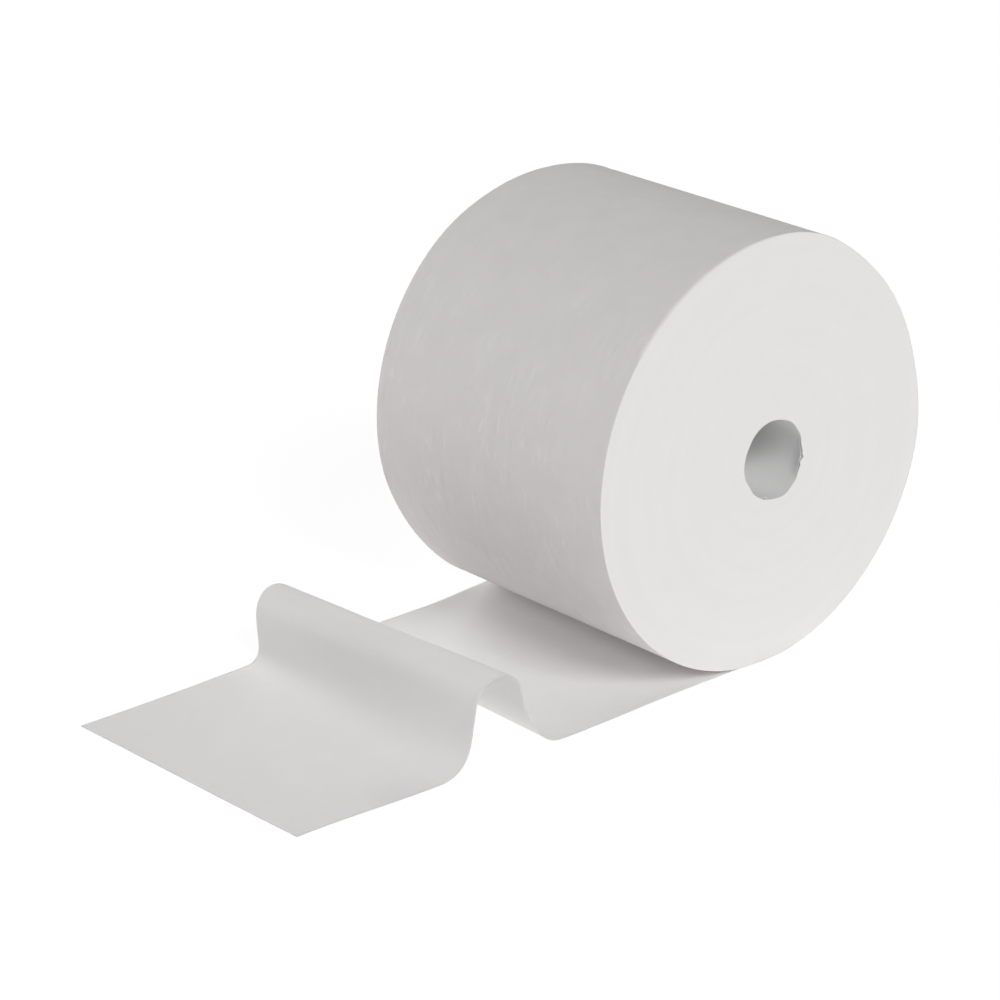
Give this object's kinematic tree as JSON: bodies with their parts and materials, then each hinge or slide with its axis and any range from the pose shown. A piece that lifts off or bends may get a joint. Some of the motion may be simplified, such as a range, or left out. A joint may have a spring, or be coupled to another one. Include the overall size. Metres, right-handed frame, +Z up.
{
  "type": "paper wiper roll",
  "caption": "Jumbo coreless roll of soft white wiper paper lying on its side, its loose end run out along the floor over one standing hump to a straight cut.",
  "frame": {"origin": "on the axis of the bore, midway between the ends of the roll", "axes": "+X along the bore, +Z up as the roll lies on the floor, and the loose end of the web runs out towards -Y"},
  "size_m": [0.305, 0.756, 0.411],
  "materials": {
    "wiper_paper": "matt, soft, lightly creped white paper with faint lines round the roll"
  },
  "bodies": {
    "root": {"wiper_roll": "wiper_paper"}
  },
  "joints": []
}
